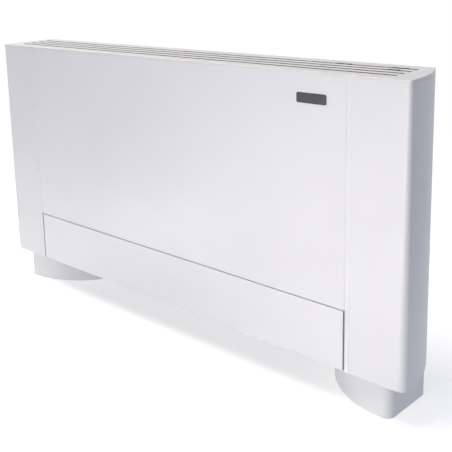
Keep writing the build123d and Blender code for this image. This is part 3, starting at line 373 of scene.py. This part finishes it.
def filter_cloth():
    """The filter's cloth, drawn tight over its frame and blown up a little in each cell."""
    low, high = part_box("filter_mesh")

    def point(u, v):
        rise = abs(math.sin(math.pi * FILTER_CELLS * u)) * math.sin(math.pi * v)
        level = (low.z + high.z) / 2 + PUFF * (high.z - low.z) * rise
        return (between(low.x, high.x, u), between(low.y, high.y, v), level)

    shape = bmesh.new()
    grid_faces(shape, vertex_grid(shape, *CLOTH_GRID, point))
    cloth = add_piece("filter_cloth", shape, "filter_cloth", BODY_OF["filter_mesh"])
    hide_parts("filter_mesh")


# Chassis screws

HEAD_RINGS = 7
HEAD_SPOKES = 32
RING_SPACING = 0.8         # below 1 puts the rings closer together near the rim
RECESS_HALF = 0.16         # half the width of the cross recess, as a share of the head's radius
RECESS_REACH = 0.52        # half its length
RECESS_FLOOR = 0.35        # height left under it, as a share of the dome
SUNK = 0.0002              # the head goes this far into the sheet


def pan_head(shape, centre, outward, radius, height):
    """A domed screw head with a cross recess, pointing outward."""
    turn = Vector((0, 0, 1)).rotation_difference(Vector(outward)).to_matrix().to_4x4()
    place = Matrix.Translation(centre) @ turn

    def top(x, y):
        distance = math.hypot(x, y) / radius
        dome = height * (1 - 0.45 * distance**2 - 0.55 * distance**10)
        in_slot = min(abs(x), abs(y)) < radius * RECESS_HALF
        in_reach = max(abs(x), abs(y)) < radius * RECESS_REACH
        return dome * RECESS_FLOOR if in_slot and in_reach else dome

    rings = [[shape.verts.new(place @ Vector((0, 0, top(0, 0))))]]
    for n in range(1, HEAD_RINGS + 1):
        distance = radius * (n / HEAD_RINGS) ** RING_SPACING
        rings.append(vertex_ring(shape, distance, HEAD_SPOKES, top, place))
    rings.append(vertex_ring(shape, radius, HEAD_SPOKES, lambda x, y: -SUNK, place))
    for inner, outer in zip(rings, rings[1:]):
        ring_faces(shape, inner, outer)
    shape.faces.new(rings[-1][::-1])


def solid_boxes(node):
    """Lowest and highest corner of each separate solid of a node that holds several."""
    shape = bmesh.new()
    shape.from_mesh(NODES[node].data)
    bmesh.ops.remove_doubles(shape, verts=shape.verts, dist=1e-7)
    waiting = set(shape.verts)
    found = []
    while waiting:
        stack = [waiting.pop()]
        members = list(stack)
        while stack:
            for edge in stack.pop().link_edges:
                for vert in edge.verts:
                    if vert in waiting:
                        waiting.discard(vert)
                        stack.append(vert)
                        members.append(vert)
        low = Vector([min(v.co[i] for v in members) for i in range(3)])
        high = Vector([max(v.co[i] for v in members) for i in range(3)])
        found.append((low, high))
    shape.free()
    return sorted(found, key=lambda box: tuple(box[0]))


def chassis_screw_heads():
    """Cross-head screws that hold the end plates, seen from behind."""
    shape = bmesh.new()
    for low, high in solid_boxes("chassis_screws"):
        seat = ((low.x + high.x) / 2, low.y, (low.z + high.z) / 2)
        pan_head(shape, seat, (0, 1, 0), (high.x - low.x) / 2, high.y - low.y)
    heads = add_piece("chassis_screw_heads", shape, "bright_steel", BODY_OF["chassis_screws"])
    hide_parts("chassis_screws")


# Marks on the controls

KNOB_MARKS = {"fan_speed_knob": (4, 0.0, 135.0), "thermostat_knob": (11, -135.0, 135.0)}
DIAL_RING = 0.0004         # the raised dial rings end this far below the rocker's frame
INLAY = 0.00012            # how far a printed or inlaid mark stands proud
ROOT = -0.0002             # and its underside, in the surface
TICK_GAP = 0.001           # from the knob to its ticks
TICK_LENGTH = 0.0019
TICK_HALF = 0.00022        # half the width of a fine tick
BOLD_HALF = 0.0004         # half the width of a bold tick and of the rocker's signs
BOLD_EVERY = 5             # bold ticks come this often, and a scale this short has no others
MARK_EASE = 0.00005        # eased edge of a mark
SIGN_HALF = 0.0022         # half the length of the plus and minus beside the rocker
SIGN_OFFSET = 0.0135       # from the middle of the rocker
SIGN_LEVEL = 0.008         # the plane they lie on, above the fascia's underside
POINTER_HALF = 0.0005      # half the width of a knob's pointer
POINTER_SPAN = (-0.0115, -0.002)     # its ends, from the middle of the knob
POINTER_ROOT = -0.0003     # its underside, in the knob's top
POINTER_EASE = 0.00008     # its eased edge


def bar(shape, place, x, y, z, bevel):
    """A small bar with eased edges, between limits along its own axes."""
    made = bmesh.ops.create_cube(shape, size=1.0)["verts"]
    for vert in made:
        local = [between(low, high, c + 0.5) for (low, high), c in zip((x, y, z), vert.co)]
        vert.co = place @ Vector(local)
    edges = {edge for vert in made for edge in vert.link_edges}
    bmesh.ops.bevel(shape, geom=list(edges), offset=bevel, segments=2, affect="EDGES")


def mark(shape, place, x, y):
    """A printed bar that stands just proud of the surface."""
    bar(shape, place, x, y, (ROOT, INLAY), MARK_EASE)


def dial_marks():
    """Scale marks round the two knobs and beside the rocker."""
    fascia_low, fascia_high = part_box("control_fascia")
    ring_top = fascia_high.z - DIAL_RING
    shape = bmesh.new()
    for knob, (count, first, last) in KNOB_MARKS.items():
        low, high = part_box(knob)
        middle = (low + high) / 2
        start = (high.x - low.x) / 2 + TICK_GAP
        for n in range(count):
            turn = math.radians(-90 - between(first, last, n / (count - 1)))
            place = Matrix.Translation((middle.x, middle.y, ring_top)) @ Matrix.Rotation(turn, 4, "Z")
            bold = n % BOLD_EVERY == 0 or count <= BOLD_EVERY
            half = BOLD_HALF if bold else TICK_HALF
            mark(shape, place, (start, start + TICK_LENGTH), (-half, half))
    low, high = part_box("mode_rocker")
    middle = (low + high) / 2
    along = (-SIGN_HALF, SIGN_HALF)
    across = (-BOLD_HALF, BOLD_HALF)
    for side in (-1, 1):
        sign = (middle.x, middle.y + side * SIGN_OFFSET, fascia_low.z + SIGN_LEVEL)
        place = Matrix.Translation(sign)
        mark(shape, place, along, across)
        if side > 0:
            mark(shape, place, across, along)
    add_piece("dial_marks", shape, "mark_white", BODY_OF["control_fascia"])


def knob_pointers():
    """A white line let into the top of each knob, from near its middle towards its edge."""
    for knob in KNOB_MARKS:
        low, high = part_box(knob)
        middle = (low + high) / 2
        shape = bmesh.new()
        place = Matrix.Translation((middle.x, middle.y, high.z))
        width = (-POINTER_HALF, POINTER_HALF)
        bar(shape, place, width, POINTER_SPAN, (POINTER_ROOT, INLAY), POINTER_EASE)
        add_piece(knob.replace("knob", "pointer"), shape, "mark_white", BODY_OF[knob])


insulation_blanket()
filter_cloth()
chassis_screw_heads()
dial_marks()
knob_pointers()

# =====================================================================
# Floor, light and camera
# =====================================================================


FLOOR_FLAT = 40.0          # radius of the flat floor
FLOOR_RISE = 30.0          # radius of the sweep at its rim
FLOOR_SPOKES = 96
FLOOR_STEPS = 8            # rings of the flat part
SWEEP_STEPS = 10           # rings of the sweep, up to upright
FLOOR_TONES = (0.54, 0.55, 0.56)     # darkest, middle and palest grey
FLOOR_GLOW = 0.6           # the floor's own glow, which keeps it white


def pale_floor():
    """A wide white floor whose rim sweeps up, so that every view ends on it."""

    def height(x, y):
        beyond = max(0.0, math.hypot(x, y) - FLOOR_FLAT)
        return FLOOR_RISE - math.sqrt(max(0.0, FLOOR_RISE**2 - beyond**2))

    radii = [FLOOR_FLAT * (n + 1) / FLOOR_STEPS for n in range(FLOOR_STEPS)]
    for n in range(SWEEP_STEPS):
        radii.append(FLOOR_FLAT + FLOOR_RISE * math.sin(math.pi / 2 * (n + 1) / SWEEP_STEPS))
    shape = bmesh.new()
    rings = [[shape.verts.new((0, 0, 0))]]
    for radius in radii:
        rings.append(vertex_ring(shape, radius, FLOOR_SPOKES, height, Matrix()))
    for inner, outer in zip(rings, rings[1:]):
        ring_faces(shape, inner, outer)
    mesh = made_mesh("floor", shape)
    floor = bpy.data.objects.new("floor", mesh)
    bpy.context.scene.collection.objects.link(floor)
    dark, grey, pale = ((tone, tone, tone) for tone in FLOOR_TONES)
    finish = Finish("floor_paint", grey, 0.9, Emission_Color=(1, 1, 1, 1), Emission_Strength=FLOOR_GLOW)
    finish.drive("Base Color", finish.blended(finish.noise(0.8), dark, pale))
    mesh.materials.append(finish.material)
    # Its light does not reach the object, whose right side stays in shade.
    floor.visible_diffuse = False
    floor.visible_shadow = False


def sky(colour, strength):
    """An even studio light from all round."""
    world = bpy.data.worlds.new("studio")
    world.use_nodes = True
    background = world.node_tree.nodes["Background"]
    background.inputs["Color"].default_value = (*colour, 1)
    background.inputs["Strength"].default_value = strength
    bpy.context.scene.world = world


def towards(source, target):
    """The turn that points a lamp from its place to a target."""
    return (Vector(target) - Vector(source)).to_track_quat("-Z", "Y").to_euler()


def sun(name, source, strength, softness, colour):
    """A large soft lamp far off; its softness is an angle in degrees."""
    light = bpy.data.lights.new(name, "SUN")
    light.energy = strength
    light.angle = math.radians(softness)
    light.color = colour
    lamp = bpy.data.objects.new(name, light)
    lamp.rotation_euler = towards(source, (0, 0, 0))
    bpy.context.scene.collection.objects.link(lamp)


def softbox(name, source, target, size, power, colour=(1, 1, 1)):
    """A rectangular lamp that the camera does not see."""
    light = bpy.data.lights.new(name, "AREA")
    light.shape = "RECTANGLE"
    light.size, light.size_y = size
    light.energy = power
    light.color = colour
    lamp = bpy.data.objects.new(name, light)
    lamp.location = source
    lamp.rotation_euler = towards(source, target)
    lamp.visible_camera = False
    bpy.context.scene.collection.objects.link(lamp)


WARM = (1.0, 0.95, 0.90)
pale_floor()
sky((0.94, 0.98, 1.15), 0.37)
sun("overhead", (-0.25, -0.30, 1.0), 1.25, 24, WARM)
# Each softbox: name, place, target, width and height, watts, colour.
# Apart from low_right, they stay in front or to the left, so the right side is in shade.
softbox("overhead_left", (-0.9, -0.3, 1.9), (0.0, 0.0, 0.5), (1.0, 1.0), 7.5, WARM)
softbox("front_fill", (-0.95, -4.0, 0.8), (-0.95, 0.0, 0.4), (3.0, 1.6), 5.5, WARM)
softbox("front_right", (0.52, -1.02, 0.36), (0.52, 0.0, 0.36), (0.18, 0.4), 4.3, WARM)
softbox("low_left", (-0.56, -0.60, 0.03), (-0.52, 0.0, 0.03), (0.4, 0.04), 1.05, WARM)
softbox("low_front", (0.48, -0.60, 0.03), (0.50, 0.0, 0.03), (0.2, 0.04), 0.3, WARM)
softbox("low_right", (0.98, 0.02, 0.03), (0.6, 0.02, 0.03), (0.2, 0.04), 0.12)
bpy.context.scene.view_settings.view_transform = "Standard"

CAMERA_PLACE = (1.3114, -1.2724, 0.8465)
CAMERA_YAW = 0.7491        # turned from +Y towards -X
CAMERA_PITCH = 0.1985      # looking down
CAMERA_ROLL = -0.0193
FOCAL_LENGTH = 64.06
RISE = -0.2124             # a falling lens keeps the upright lines nearly parallel

camera = bpy.data.cameras.new("camera")
camera.sensor_width = 36.0
camera.lens = FOCAL_LENGTH
camera.shift_y = RISE
camera.clip_start, camera.clip_end = 0.01, 200.0
eye = bpy.data.objects.new("camera", camera)
level = Matrix.Rotation(CAMERA_YAW, 4, "Z") @ Matrix.Rotation(math.pi / 2 - CAMERA_PITCH, 4, "X")
eye.matrix_world = Matrix.Translation(CAMERA_PLACE) @ level @ Matrix.Rotation(CAMERA_ROLL, 4, "Z")
bpy.context.scene.collection.objects.link(eye)
bpy.context.scene.camera = eye
